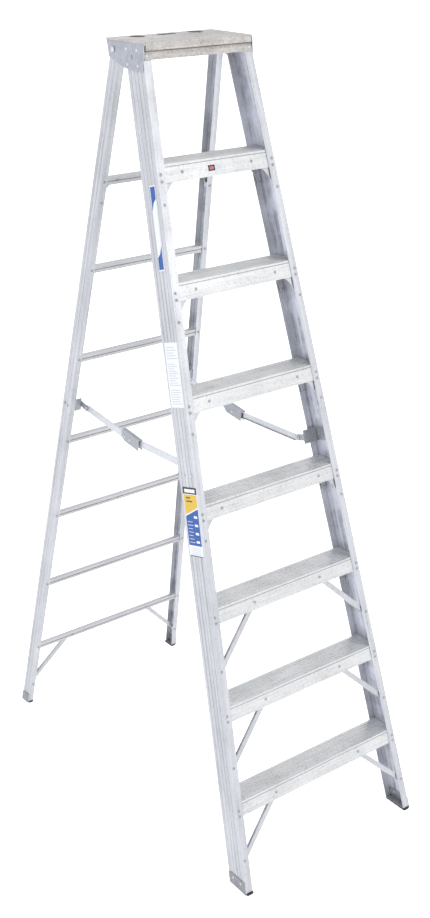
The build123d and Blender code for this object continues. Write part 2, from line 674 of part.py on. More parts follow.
with BuildPart() as pivot_spacers:
    with BuildSketch(web_plane(FRONT_RAIL, 0)):
        with Locations((BOLT_DEPTH, BOLT_UP / cos_ft)):
            Circle(SPACER_R)
            Circle(BOLT_R + SPACER_PLAY, mode=Mode.SUBTRACT)
    extrude(amount=SPACER - SPACER_PLAY)
    mirror(about=Plane.YZ)
finish("pivot_spacers", pivot_spacers.part)

# ---- feet -----------------------------------------------------------------------------------


def rail_point(rail, inset, back, height):
    """Plan position of a line along a rail where it crosses a height."""
    at = rail.from_local_coords((inset, back, 0))
    climb = (height - at.Z) / rail.z_dir.Z
    return at.X + rail.z_dir.X * climb, at.Y + rail.z_dir.Y * climb


def boot(rail, depth, flange, rivets):
    """Galvanised stirrup round the foot of a rail: outer plate, sole and inner plate."""
    with BuildPart() as stirrup:
        with BuildSketch(web_plane(rail, WEB_WALL)):
            with Locations((FLANGE_WALL + END_GAP, 0)):
                Rectangle(
                    depth - 2 * (FLANGE_WALL + END_GAP), 3 * BOOT_TOP,
                    align=(Align.MIN, Align.CENTER),
                )
        extrude(amount=BOOT_WALL)
        split(bisect_by=Plane.XY.offset(FOOT_Z), keep=Keep.TOP)
        with BuildSketch(web_plane(rail, 0)):
            Rectangle(depth, 3 * BOOT_TOP, align=(Align.MIN, Align.CENTER))
        extrude(amount=-BOOT_WALL)
        split(bisect_by=Plane.XY.offset(BOOT_TOP), keep=Keep.BOTTOM)
        split(bisect_by=Plane.XY.offset(BOOT_LOW), keep=Keep.TOP)
        with BuildSketch(Plane.XY.offset(PAD_HEIGHT)):
            with BuildLine():
                Polyline(
                    rail_point(rail, -BOOT_WALL, 0, FOOT_Z),
                    rail_point(rail, flange, 0, FOOT_Z),
                    rail_point(rail, flange, depth, FOOT_Z),
                    rail_point(rail, -BOOT_WALL, depth, FOOT_Z),
                    close=True,
                )
            make_face()
        extrude(amount=BOOT_WALL)
        with BuildSketch(web_plane(rail, -BOOT_WALL - 1)):
            with Locations(*rivets):
                Circle(hole_r)
        extrude(amount=WEB_WALL + 2 * BOOT_WALL + 2, mode=Mode.SUBTRACT)
    return stirrup.part


def pad(half, foot_y, depth, flange):
    """Rubber pad under a boot, with grooves across its tread."""
    wide = flange + PAD_LIP / 2 - PAD_IN
    with BuildPart() as block:
        with BuildSketch():
            with Locations((-half + PAD_IN, foot_y - PAD_LIP)):
                Rectangle(wide, depth + 2 * PAD_LIP, align=Align.MIN)
        extrude(amount=PAD_HEIGHT)
        fillet(block.edges().filter_by(Axis.Z), PAD_LIP)
        with BuildSketch():
            with Locations((-half, foot_y + depth / 2)):
                with GridLocations(1, depth / PAD_GROOVES, 1, PAD_GROOVES):
                    Rectangle(4 * wide, PAD_GROOVE)
        extrude(amount=PAD_GROOVE / 2, mode=Mode.SUBTRACT)
        mirror(about=Plane.YZ)
    return block.part


front_boot = boot(FRONT_RAIL, FRONT_DEPTH, FRONT_FLANGE, front_boot_rivets)
rear_boot = boot(REAR_RAIL, REAR_DEPTH, REAR_FLANGE, rear_boot_rivets)
finish_pair("front_boot", front_boot)
finish_pair("rear_boot", rear_boot)
finish("front_pads", pad(FRONT_HALF, FRONT_Y, FRONT_DEPTH / cos_f, FRONT_FLANGE))
finish("rear_pads", pad(REAR_HALF, REAR_Y, REAR_DEPTH / cos_r, REAR_FLANGE))

# ---- spreaders: left-hand ones --------------------------------------------------------------
fore_x = JOINT_FACE_X - ARM_GAP / 2                      # outer face of the front arm
aft_x = JOINT_FACE_X + ARM_GAP / 2 + ARM_WIDTH           # outer face of the rear arm
fore_lug_x = fore_x + ARM_GAP + LUG_WALL                 # outer face of the front lug
aft_lug_x = aft_x + ARM_GAP + LUG_WALL


def lug(root, tip, up):
    """Flat lug in a section plane, from its root to the pivot it is rounded about."""
    with Locations((0, up)):
        with Locations(((root + tip) / 2, 0)):
            Rectangle(abs(tip - root), 2 * LUG_R)
        with Locations((tip, 0)):
            Circle(LUG_R)
            Circle(PIN_R + RUNNING, mode=Mode.SUBTRACT)


with BuildPart() as fore_bracket:
    with BuildSketch(web_plane(FRONT_RAIL, WEB_WALL)):
        with Locations((FORE_BRACKET_END / 2 + FLANGE_WALL, spreader_up / cos_ft)):
            Rectangle(FORE_BRACKET_END - 2 * FLANGE_WALL, BRACKET_HEIGHT)
        with Locations(*fore_bracket_rivets):
            Circle(hole_r, mode=Mode.SUBTRACT)
    extrude(amount=LUG_WALL)
    with BuildSketch(FRONT_FACE.offset(-FORE_BRACKET_END)):
        with Locations((-fore_lug_x, spreader_up)):
            Rectangle(
                front_half(spreader_up) - fore_lug_x, BRACKET_HEIGHT,
                align=(Align.MAX, Align.CENTER),
            )
    extrude(amount=LUG_WALL)
    split(bisect_by=web_plane(FRONT_RAIL, WEB_WALL), keep=Keep.TOP)
    with BuildSketch(FRONT_SECTION.offset(-fore_lug_x)):
        lug(FORE_BRACKET_END - LUG_WALL, SPREADER_BACK, spreader_up)
    extrude(amount=LUG_WALL)
finish_pair("front_spreader_bracket", fore_bracket.part)

with BuildPart() as aft_bracket:
    with BuildSketch(web_plane(REAR_RAIL, WEB_WALL)):
        with Locations((REAR_DEPTH / 2, SPREADER_REAR_UP / cos_rt)):
            Rectangle(REAR_DEPTH - 2 * (FLANGE_WALL + END_GAP), BRACKET_HEIGHT)
        with Locations(*aft_bracket_rivets):
            Circle(hole_r, mode=Mode.SUBTRACT)
    extrude(amount=LUG_WALL)
    with BuildSketch(REAR_FACE.offset(-FLANGE_WALL - END_GAP)):
        with Locations((-aft_lug_x, SPREADER_REAR_UP)):
            Rectangle(
                rear_half(SPREADER_REAR_UP) - aft_lug_x, BRACKET_HEIGHT,
                align=(Align.MAX, Align.CENTER),
            )
    extrude(amount=-LUG_WALL)
    split(bisect_by=web_plane(REAR_RAIL, WEB_WALL), keep=Keep.TOP)
    with BuildSketch(REAR_SECTION.offset(-aft_lug_x)):
        lug(FLANGE_WALL + END_GAP + LUG_WALL, -SPREADER_AHEAD, SPREADER_REAR_UP)
    extrude(amount=LUG_WALL)
finish_pair("rear_spreader_bracket", aft_bracket.part)


def arm(plane, run, holes):
    """Channel arm from its pivot at the plane's origin along x, web on the outside."""
    with BuildPart() as bar:
        with BuildSketch(plane):
            with Locations((run / 2, 0)):
                SlotCenterToCenter(run, ARM_HEIGHT)
            with Locations(*[(at, 0) for at in holes]):
                Circle(PIN_R + RUNNING, mode=Mode.SUBTRACT)
        extrude(amount=ARM_WALL)
        with BuildSketch(plane):
            for edge in (-1, 1):
                with Locations((run / 2, edge * (ARM_HEIGHT - ARM_WALL) / 2)):
                    Rectangle(run - ARM_HEIGHT / 2, ARM_WALL)
        extrude(amount=ARM_WIDTH)
    return bar.part


def arm_plane(x, y, z, angle):
    """Side plane with its x axis along an arm that rises by an angle towards the rear."""
    a = radians(angle)
    return Plane(origin=(-x, y, z), x_dir=(0, cos(a), sin(a)), z_dir=(1, 0, 0))


fore_arm_plane = arm_plane(fore_x, fore.Y, fore.Z, fore_angle)
aft_arm_plane = arm_plane(aft_x, middle_y, middle_z, aft_angle)
hood_run = HOOD_AFT * HOOD_PIN
finish_pair("spreader_front_arm", arm(fore_arm_plane, FORE_ARM, [0, FORE_ARM]))
finish_pair("spreader_rear_arm", arm(aft_arm_plane, AFT_ARM, [0, hood_run, AFT_ARM]))

hood_x = aft_x + HOOD_WALL                               # outer face of the hood
hood_span = 2 * ARM_WIDTH + 2 * ARM_GAP                  # between its walls
with BuildPart() as hood:
    with BuildSketch(arm_plane(hood_x, middle_y, middle_z, aft_angle)):
        with BuildLine():
            Line((-HOOD_FORE, -HOOD_SKIRT), (-HOOD_FORE, HOOD_TOP + HOOD_WALL))
            Line((-HOOD_FORE, HOOD_TOP + HOOD_WALL), (HOOD_AFT, HOOD_TOP + HOOD_WALL))
            Line((HOOD_AFT, HOOD_TOP + HOOD_WALL), (HOOD_AFT, 0))
            TangentArc((HOOD_AFT, 0), (HOOD_AFT / 2, -HOOD_SKIRT), tangent=(-0.3, -1))
            Line((HOOD_AFT / 2, -HOOD_SKIRT), (-HOOD_FORE, -HOOD_SKIRT))
        make_face()
        Circle(PIN_R + HOLE_PLAY, mode=Mode.SUBTRACT)
    extrude(amount=hood_span + 2 * HOOD_WALL)
    with BuildSketch(arm_plane(hood_x, middle_y, middle_z, aft_angle)):
        with Locations((hood_run, 0)):
            Circle(PIN_R + HOLE_PLAY)
    extrude(amount=HOOD_WALL, mode=Mode.SUBTRACT)
    with BuildSketch(arm_plane(hood_x - HOOD_WALL, middle_y, middle_z, aft_angle)):
        with Locations((0, HOOD_TOP)):
            Rectangle(4 * HOOD_AFT, 4 * HOOD_AFT, align=(Align.CENTER, Align.MAX))
    extrude(amount=hood_span, mode=Mode.SUBTRACT)
finish_pair("spreader_hood", hood.part)

# ---- spreader pins --------------------------------------------------------------------------


def pin(at, outer, inner):
    """Pin with a head at both ends, between two places across the ladder on the left."""
    with BuildPart() as made:
        with BuildSketch(across(outer, *at)):
            Circle(PIN_HEAD_R)
        extrude(amount=PIN_HEAD, taper=PIN_TAPER)
        with BuildSketch(across(outer, *at)):
            Circle(PIN_R)
        extrude(amount=inner - outer)
        with BuildSketch(across(inner, *at)):
            Circle(PIN_HEAD_R)
        extrude(amount=-PIN_HEAD, taper=PIN_TAPER)
    return made.part


def stub(at, face, out):
    """Pin that ends flush with a face across the ladder, its head beyond another wall."""
    side = 1 if out > face else -1
    with BuildPart() as made:
        with BuildSketch(across(face, *at)):
            Circle(PIN_R)
        extrude(amount=out - face)
        with BuildSketch(across(out, *at)):
            Circle(PIN_HEAD_R)
        extrude(amount=side * PIN_HEAD, taper=PIN_TAPER)
    return made.part


fore_at, aft_at, middle_at = (fore.Y, fore.Z), (aft.Y, aft.Z), (middle_y, middle_z)
hood_at = (
    middle_y + hood_run * cos(radians(aft_angle)), middle_z + hood_run * sin(radians(aft_angle))
)
with BuildPart() as front_pins:
    add(pin(fore_at, fore_lug_x, fore_x - ARM_WALL - ARM_GAP))
    mirror(about=Plane.YZ)
finish("spreader_front_pins", front_pins.part)

with BuildPart() as rear_pins:
    add(pin(aft_at, aft_lug_x, aft_x - ARM_WALL - ARM_GAP))
    mirror(about=Plane.YZ)
finish("spreader_rear_pins", rear_pins.part)

# The middle joint is opened between the arms: each side keeps its own part of the rivet.
hood_inner_x = hood_x - HOOD_WALL - hood_span            # inner wall's face towards the arms
finish_pair("spreader_front_arm_pin", stub(middle_at, fore_x, fore_x - ARM_WALL))

with BuildPart() as arm_pins:
    add(pin(middle_at, hood_x, aft_x - ARM_WALL))
    add(pin(hood_at, hood_x, aft_x - ARM_WALL))
    add(stub(middle_at, hood_inner_x, hood_inner_x - HOOD_WALL))
finish_pair("spreader_rear_arm_pins", arm_pins.part)

# ---- rivets: domed heads, shanks and set tails ----------------------------------------------


def rivets(face, places, grip):
    """Rivets on both sides, heads on a face plane, tails behind the thickness they grip."""
    with BuildSketch(face) as heads:
        with Locations(*both_sides(places)):
            Circle(RIVET_HEAD_R)
    extrude(heads.sketch, amount=RIVET_HEAD, taper=RIVET_TAPER)
    with BuildSketch(face) as shanks:
        with Locations(*both_sides(places)):
            Circle(RIVET_R)
    extrude(shanks.sketch, amount=-grip)
    with BuildSketch(face.offset(-grip)) as tails:
        with Locations(*both_sides(places)):
            Circle(RIVET_TAIL_R)
    extrude(tails.sketch, amount=-RIVET_TAIL)


def web_rivets(rail, places, grip):
    """Rivets through a left web from its outer face or a plate on it, given as (back, up)."""
    with BuildSketch(rail) as heads:
        with Locations(*places):
            Circle(RIVET_HEAD_R)
    extrude(heads.sketch, amount=-RIVET_HEAD, taper=RIVET_TAPER)
    with BuildSketch(rail) as shanks:
        with Locations(*places):
            Circle(RIVET_R)
    extrude(shanks.sketch, amount=grip)
    with BuildSketch(rail.offset(grip)) as tails:
        with Locations(*places):
            Circle(RIVET_TAIL_R)
    extrude(tails.sketch, amount=RIVET_TAIL)


step_grip = FLANGE_WALL + TREAD_WALL
with BuildPart() as step_rivets:
    rivets(FRONT_FACE, step_front[:2 * BRACE_STEPS], step_grip)
    rivets(FRONT_FACE, step_front[2 * BRACE_STEPS:], step_grip + GUSSET_WALL)
    rivets(FRONT_REAR, step_rear, step_grip + GUSSET_WALL)
finish("step_rivets", step_rivets.part)

with BuildPart() as stay_rivets:
    rivets(FRONT_FACE, front_lows[:BRACE_STEPS], step_grip + BRACE_WALL)
    rivets(FRONT_FACE, front_lows[BRACE_STEPS:], step_grip + GUSSET_WALL)
    rivets(FRONT_FACE.offset(-front_skin), front_tops[:BRACE_STEPS], TREAD_WALL + BRACE_WALL)
    rivets(FRONT_FACE.offset(-front_skin), front_tops[BRACE_STEPS:], TREAD_WALL + GUSSET_WALL)
    rivets(FRONT_REAR, rear_lows, step_grip + GUSSET_WALL)
    rivets(FRONT_REAR.offset(-FLANGE_WALL), rear_tops, TREAD_WALL + GUSSET_WALL)
finish("stay_rivets", stay_rivets.part)

with BuildPart() as front_rivets:
    rivets(FRONT_FACE.offset(BAND_WALL), band_rivets, BAND_WALL + FLANGE_WALL)
    web_rivets(web_plane(FRONT_RAIL, -PLATE_WALL), plate_rivets, PLATE_WALL + WEB_WALL)
    web_rivets(web_plane(FRONT_RAIL, 0), fore_bracket_rivets, WEB_WALL + LUG_WALL)
    boot_grip = WEB_WALL + 2 * BOOT_WALL
    web_rivets(web_plane(FRONT_RAIL, -BOOT_WALL), front_boot_rivets, boot_grip)
    mirror(about=Plane.YZ)
finish("front_rivets", front_rivets.part)

with BuildPart() as rear_rivets:
    rivets(REAR_FACE, bar_rivets, FLANGE_WALL + BAR_GROOVE)
    rivets(REAR_FACE, [rear_brace_ends[1]], bar_back + BRACE_WALL)
    rivets(REAR_FACE, [rear_gusset_ends[1]], bar_back + GUSSET_WALL)
    rivets(REAR_FACE.offset(-FLANGE_WALL), [rear_brace_ends[0]], BAR_DEPTH + BRACE_WALL)
    rivets(REAR_FACE.offset(-FLANGE_WALL), [rear_gusset_ends[0]], BAR_DEPTH + GUSSET_WALL)
    web_rivets(web_plane(REAR_RAIL, 0), aft_bracket_rivets, WEB_WALL + LUG_WALL)
    web_rivets(web_plane(REAR_RAIL, -BOOT_WALL), rear_boot_rivets, boot_grip)
    mirror(about=Plane.YZ)
finish("rear_rivets", rear_rivets.part)

# ---- labels: thin plates without lettering --------------------------------------------------
with BuildPart() as labels:
    with BuildSketch(web_plane(FRONT_RAIL, 0)):
        for back, width, pitches, height in WEB_LABELS:
            with Locations((back, pitches * STEP_PITCH)):
                Rectangle(width, height, align=Align.MIN)
    extrude(amount=-LABEL)
    with BuildSketch(FRONT_FACE.offset(-front_skin)):
        with Locations((STEP_LABEL_X, steps[-1] - STEP_RIVET_DROP / 2 - STEP_LABEL[1])):
            Rectangle(*STEP_LABEL, align=(Align.CENTER, Align.MIN))
    extrude(amount=LABEL)
finish("labels", labels.part)
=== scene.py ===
from math import cos, pi, radians, sin

import bmesh
import bpy
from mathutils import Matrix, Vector


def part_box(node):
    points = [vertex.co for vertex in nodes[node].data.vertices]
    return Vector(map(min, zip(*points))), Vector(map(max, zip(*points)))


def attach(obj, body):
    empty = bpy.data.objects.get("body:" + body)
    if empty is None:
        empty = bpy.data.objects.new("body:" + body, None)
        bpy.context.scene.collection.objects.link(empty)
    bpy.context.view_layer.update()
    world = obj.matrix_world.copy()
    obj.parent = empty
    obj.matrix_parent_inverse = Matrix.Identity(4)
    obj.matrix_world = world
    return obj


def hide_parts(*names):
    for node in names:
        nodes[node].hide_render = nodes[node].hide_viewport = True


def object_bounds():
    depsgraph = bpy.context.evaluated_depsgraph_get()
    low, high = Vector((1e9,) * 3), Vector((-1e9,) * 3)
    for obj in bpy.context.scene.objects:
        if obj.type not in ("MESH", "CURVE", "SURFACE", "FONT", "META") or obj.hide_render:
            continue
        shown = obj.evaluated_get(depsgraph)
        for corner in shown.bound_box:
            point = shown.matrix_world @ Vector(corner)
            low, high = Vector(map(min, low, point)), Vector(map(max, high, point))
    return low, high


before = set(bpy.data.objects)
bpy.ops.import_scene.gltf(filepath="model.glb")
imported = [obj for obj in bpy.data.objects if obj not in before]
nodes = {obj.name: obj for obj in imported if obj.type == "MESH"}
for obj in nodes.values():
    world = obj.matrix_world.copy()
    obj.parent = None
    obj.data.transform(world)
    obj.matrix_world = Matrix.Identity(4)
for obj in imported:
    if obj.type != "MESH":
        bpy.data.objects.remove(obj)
cad_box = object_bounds()

# ---- the view -------------------------------------------------------------------------------
# The ladder stands on a pale floor in plain soft light, seen from its left front corner and from
# a little above the cap.
CAMERA_PLACE = Vector((-2.1936, -2.9126, 2.6924))
CAMERA_TURN = 37.66          # degrees, from straight along +Y towards +X
CAMERA_TILT = -31.26         # degrees, below the horizon
FOCAL_LENGTH = 48.95
SENSOR = 36.0
FRAME_RISE = 0.193           # shift of the picture, as a part of its height

camera_data = bpy.data.cameras.new("camera")
camera_data.sensor_fit = "VERTICAL"
camera_data.sensor_height = SENSOR
camera_data.lens = FOCAL_LENGTH
camera_data.shift_y = FRAME_RISE
camera_data.clip_end = 200.0
camera = bpy.data.objects.new("camera", camera_data)
camera.location = CAMERA_PLACE
camera.rotation_euler = (radians(90 + CAMERA_TILT), 0, radians(-CAMERA_TURN))
bpy.context.scene.collection.objects.link(camera)
bpy.context.scene.camera = camera
bpy.context.scene.view_settings.view_transform = "Standard"


def area_light(name, place, target, size, power, colour):
    """Soft light panel that faces a target."""
    data = bpy.data.lights.new(name, "AREA")
    data.shape = "DISK"
    data.size = size
    data.energy = power
    data.color = colour
    panel = bpy.data.objects.new(name, data)
    panel.location = place
    panel.rotation_euler = (Vector(target) - Vector(place)).to_track_quat("-Z", "Y").to_euler()
    bpy.context.scene.collection.objects.link(panel)


middle = (0, 0, cad_box[1].z / 2)
area_light("key", (3.6, -9.8, 5.0), (0, 0, 0.8), 5.0, 125, (1.0, 0.985, 0.955))
area_light("fill", (-8.4, -2.6, 5.0), middle, 6.0, 150, (0.88, 0.92, 1.0))
area_light("back", (2.0, 9.2, 6.0), middle, 4.8, 100, (1.0, 1.0, 1.0))

world = bpy.data.worlds.new("studio")
world.use_nodes = True
world.node_tree.nodes["Background"].inputs["Color"].default_value = (0.93, 0.95, 1.0, 1)
world.node_tree.nodes["Background"].inputs["Strength"].default_value = 0.93
bpy.context.scene.world = world

FLOOR_HALF = 60.0
floor_mesh = bpy.data.meshes.new("floor")
corners = [(-1, -1), (1, -1), (1, 1), (-1, 1)]
floor_mesh.from_pydata([(x * FLOOR_HALF, y * FLOOR_HALF, 0) for x, y in corners], [], [range(4)])
floor = bpy.data.objects.new("floor", floor_mesh)
bpy.context.scene.collection.objects.link(floor)
floor_paint = bpy.data.materials.new("floor_paint")
floor_paint.use_nodes = True
shader = floor_paint.node_tree.nodes["Principled BSDF"]
shader.inputs["Base Color"].default_value = (0.93, 0.93, 0.93, 1)
shader.inputs["Roughness"].default_value = 0.9
shader.inputs["Emission Color"].default_value = (1, 1, 1, 1)
# The floor looks evenly white, but throws only a part of that light back up on the ladder.
rays = floor_paint.node_tree.nodes.new("ShaderNodeLightPath")
glow = floor_paint.node_tree.nodes.new("ShaderNodeMapRange")
glow.inputs["To Min"].default_value = 0.16
glow.inputs["To Max"].default_value = 0.75
floor_paint.node_tree.links.new(rays.outputs["Is Camera Ray"], glow.inputs["Value"])
floor_paint.node_tree.links.new(glow.outputs[0], shader.inputs["Emission Strength"])
floor_mesh.materials.append(floor_paint)

# ---- front rails ----------------------------------------------------------------------------
# Two extruded aluminium channels with a fluted web and plain flanges. They are left in mill
# finish, so the die's fine lines run up them. Their inboard faces carry painted shade: a bluer
# colour with darker patches in it.
RAIL_COLOUR = (0.80, 0.81, 0.83)
# Painted shade and blue tint, laid on the front rails' inboard faces.
RAIL_INSIDE_SHADE = (0.82, 0.84, 0.93)


def put(tree, kind, settings=None, **inputs):
    """A shader node, with its inputs given as constants or as the sockets they come from."""
    node = tree.nodes.new(kind)
    for key, value in (settings or {}).items():
        setattr(node, key, value)
    for key, value in inputs.items():
        spot = int(key[1:]) if key[0] == "i" and key[1:].isdigit() else key.replace("_", " ")
        if isinstance(value, bpy.types.NodeSocket):
            tree.links.new(value, node.inputs[spot])
        else:
            node.inputs[spot].default_value = value
    return node


def maths(tree, operation, *values, clamp=False):
    """The result of one arithmetic step."""
    inputs = {f"i{i}": value for i, value in enumerate(values)}
    return put(tree, "ShaderNodeMath", {"operation": operation, "use_clamp": clamp}, **inputs).outputs[0]


def spread(tree, value, low, high, out_low=0.0, out_high=1.0):
    """A value's range stretched to another, and clamped to it."""
    return put(
        tree, "ShaderNodeMapRange", None, Value=value, From_Min=low, From_Max=high,
        To_Min=out_low, To_Max=out_high,
    ).outputs[0]


def blend(tree, factor, first, second, mode="MIX"):
    """Two colours mixed by a factor."""
    mix = put(tree, "ShaderNodeMix", {"data_type": "RGBA", "blend_type": mode}, i0=factor)
    for socket, value in ((mix.inputs[6], first), (mix.inputs[7], second)):
        if isinstance(value, bpy.types.NodeSocket):
            tree.links.new(value, socket)
        else:
            socket.default_value = (*value, 1)
    return mix.outputs[2]


def group(name, inputs, outputs):
    """A new shader node group with named sockets."""
    tree = bpy.data.node_groups.new(name, "ShaderNodeTree")
    for label, kind, value in inputs:
        socket = tree.interface.new_socket(label, in_out="INPUT", socket_type=kind)
        socket.default_value = value
    for label in outputs:
        tree.interface.new_socket(label, in_out="OUTPUT", socket_type="NodeSocketFloat")
    return tree, tree.nodes.new("NodeGroupInput").outputs, tree.nodes.new("NodeGroupOutput").inputs


def use(tree, shared, **inputs):
    """A group placed in a material, with its own values."""
    return put(tree, "ShaderNodeGroup", {"node_tree": shared}, **inputs).outputs


# Worn edges and painted edge highlight: where the surface turns within a small radius.
edge_wear_and_highlight, given, made = group(
    "edge_wear_and_highlight", [("Radius", "NodeSocketFloat", 0.002)], ["Mask"]
)
rounded = put(edge_wear_and_highlight, "ShaderNodeBevel", {"samples": 4}, Radius=given["Radius"])
flat = put(edge_wear_and_highlight, "ShaderNodeNewGeometry")
turn = put(
    edge_wear_and_highlight, "ShaderNodeVectorMath", {"operation": "DOT_PRODUCT"},
    i0=rounded.outputs[0], i1=flat.outputs["Normal"],
).outputs["Value"]
edge_wear_and_highlight.links.new(spread(edge_wear_and_highlight, turn, 0.995, 0.9), made["Mask"])

# Painted shade in corners and seams: darker where other surfaces are close by.
occlusion_shade, given, made = group("occlusion_shade", [("Reach", "NodeSocketFloat", 0.006)], ["Mask"])
openness = put(occlusion_shade, "ShaderNodeAmbientOcclusion", {"samples": 6}, Distance=given["Reach"])
occlusion_shade.links.new(spread(occlusion_shade, openness.outputs["AO"], 0.85, 0.25), made["Mask"])

# Drawn grain: long streaks along a direction, with finer lines and cloudy patches.
drawn_grain, given, made = group(
    "drawn_grain",
    [
        ("Along", "NodeSocketVector", (0, 0, 1)),
        ("Width", "NodeSocketFloat", 0.006),
        ("Stretch", "NodeSocketFloat", 60.0),
        ("Patch", "NodeSocketFloat", 0.12),
    ],
    ["Streak", "Line", "Cloud"],
)
place = put(drawn_grain, "ShaderNodeTexCoord").outputs["Object"]


def squeezed(tree, at, along, stretch):
    """Coordinates shortened along a direction, so that what they carry is drawn out."""
    run = put(tree, "ShaderNodeVectorMath", {"operation": "DOT_PRODUCT"}, i0=at, i1=along)
    keep = maths(tree, "SUBTRACT", maths(tree, "DIVIDE", 1.0, stretch), 1.0)
    amount = maths(tree, "MULTIPLY", run.outputs["Value"], keep)
    shift = put(tree, "ShaderNodeVectorMath", {"operation": "SCALE"}, i0=along, Scale=amount)
    moved = put(tree, "ShaderNodeVectorMath", {"operation": "ADD"}, i0=at, i1=shift.outputs[0])
    return moved.outputs[0]


drawn = squeezed(drawn_grain, place, given["Along"], given["Stretch"])
wide = maths(drawn_grain, "DIVIDE", 1.0, given["Width"])
streak = put(drawn_grain, "ShaderNodeTexNoise", None, Vector=drawn, Scale=wide, Detail=2.0)
line = put(
    drawn_grain, "ShaderNodeTexNoise", None, Vector=drawn,
    Scale=maths(drawn_grain, "MULTIPLY", wide, 5.0), Detail=1.0,
)
cloud = put(
    drawn_grain, "ShaderNodeTexNoise", None, Vector=place,
    Scale=maths(drawn_grain, "DIVIDE", 1.0, given["Patch"]), Detail=4.0, Roughness=0.6,
)
for label, texture in (("Streak", streak), ("Line", line), ("Cloud", cloud)):
    drawn_grain.links.new(spread(drawn_grain, texture.outputs[0], 0.3, 0.7), made[label])

# Faces that look towards the middle of the ladder.
facing_in, given, made = group("facing_in", [], ["Mask"])
coordinates = put(facing_in, "ShaderNodeTexCoord")
across = put(facing_in, "ShaderNodeSeparateXYZ", None, i0=coordinates.outputs["Object"])
normal = put(facing_in, "ShaderNodeSeparateXYZ", None, i0=coordinates.outputs["Normal"])
side = maths(facing_in, "SIGN", across.outputs["X"])
inward = maths(facing_in, "MULTIPLY", maths(facing_in, "MULTIPLY", side, normal.outputs["X"]), -1.0)
facing_in.links.new(spread(facing_in, inward, 0.35, 0.75), made["Mask"])


def new_material(name):
    """An empty material and its shader."""
    material = bpy.data.materials.new(name)
    material.use_nodes = True
    return material, material.node_tree, material.node_tree.nodes["Principled BSDF"]


def dress(material, *names):
    """Gives CAD nodes a material in place of the plain one."""
    for name in names:
        nodes[name].data.materials.clear()
        nodes[name].data.materials.append(material)


def mill_aluminium(
    name, colour, along, inside=None, streaks=0.10, lines=0.05, clouds=0.08, rough=0.36,
    metal=0.7, width=0.006, stretch=60.0, edge=0.35, crevice_shading=0.55, spots=0.10,
):
    """Mill-finish aluminium with its grain along a direction."""
    material, tree, shader = new_material(name)
    grain = use(tree, drawn_grain, Along=along, Width=width, Stretch=stretch)
    edge_wear_and_light = use(tree, edge_wear_and_highlight)["Mask"]
    base = colour
    # Faces that look inboard get painted shade: a bluer colour with darker patches in it.
    if inside:
        dark = tuple(0.55 * c for c in inside)
        drawn_in = use(tree, drawn_grain, Along=along, Width=0.011, Stretch=22.0, Patch=0.05)
        patchy = maths(tree, "MULTIPLY", drawn_in["Streak"], drawn_in["Cloud"])
        stain_and_shade = blend(tree, spread(tree, patchy, 0.15, 0.6), inside, dark)
        base = blend(tree, use(tree, facing_in)["Mask"], colour, stain_and_shade)
    shade = maths(tree, "MULTIPLY", grain["Streak"], streaks)
    shade = maths(tree, "ADD", shade, maths(tree, "MULTIPLY", grain["Line"], lines))
    shade = maths(tree, "ADD", shade, maths(tree, "MULTIPLY", grain["Cloud"], clouds))
    at = put(tree, "ShaderNodeTexCoord").outputs["Object"]
    fleck = put(tree, "ShaderNodeTexNoise", None, Vector=at, Scale=150.0, Detail=3.0).outputs[0]
    shade = maths(tree, "ADD", shade, spread(tree, fleck, 0.5, 0.72, 0.0, spots))
    # Painted shade in corners and seams darkens the colour further.
    shade = maths(tree, "ADD", shade, maths(tree, "MULTIPLY", use(tree, occlusion_shade)["Mask"], crevice_shading))
    level = maths(tree, "SUBTRACT", 1.0, shade)
    grey = put(tree, "ShaderNodeCombineColor", None, Red=level, Green=level, Blue=level).outputs[0]
    base = blend(tree, 1.0, base, grey, "MULTIPLY")
    # Edges are lightened, partly as wear and partly as a painted highlight.
    base = blend(tree, maths(tree, "MULTIPLY", edge_wear_and_light, edge), base, (0.95, 0.95, 0.95))
    tree.links.new(base, shader.inputs["Base Color"])
    shader.inputs["Metallic"].default_value = metal
    dull = maths(tree, "MULTIPLY", grain["Cloud"], 0.16)
    tree.links.new(maths(tree, "ADD", dull, rough - 0.08), shader.inputs["Roughness"])
    relief = maths(tree, "ADD", grain["Line"], grain["Streak"])
    bump = put(tree, "ShaderNodeBump", None, Strength=0.12, Distance=0.0003, Height=relief)
    tree.links.new(bump.outputs[0], shader.inputs["Normal"])
    return material


def node_direction(name):
    """Which way a long CAD node runs, from the middle of its lowest end to that of its highest."""
    places = [vertex.co for vertex in nodes[name].data.vertices]
    low, high = min(p.z for p in places), max(p.z for p in places)
    ends = []
    for level in (low, high):
        ring = [p for p in places if abs(p.z - level) < 0.001]
        ends.append(sum(ring, Vector()) / len(ring))
    return (ends[1] - ends[0]).normalized()


for hand in ("left", "right"):
    rail = f"front_rail_{hand}"
    metal = mill_aluminium(
        rail + "_metal", RAIL_COLOUR, node_direction(rail), RAIL_INSIDE_SHADE, streaks=0.17,
        lines=0.09, clouds=0.12, width=0.012, stretch=45.0, crevice_shading=0.3,
    )
    dress(metal, rail)

# ---- steps ----------------------------------------------------------------------------------
# Seven extruded aluminium treads, ribbed on top and riveted to the rails through an apron front
# and rear. The grain runs across them, and a dark line of painted shadow runs along each nose,
# under the small step that the die left in the apron.
STEP_COLOUR = (0.88, 0.88, 0.865)
STEP_PITCH = 0.3048
NOSE_DROP = 0.0075           # the line's middle, below the tread's front edge
NOSE_HALF = 0.0016           # half of the line's width, with its soft edge
NOSE_CORE = 0.4              # its full dark, as a part of that half width
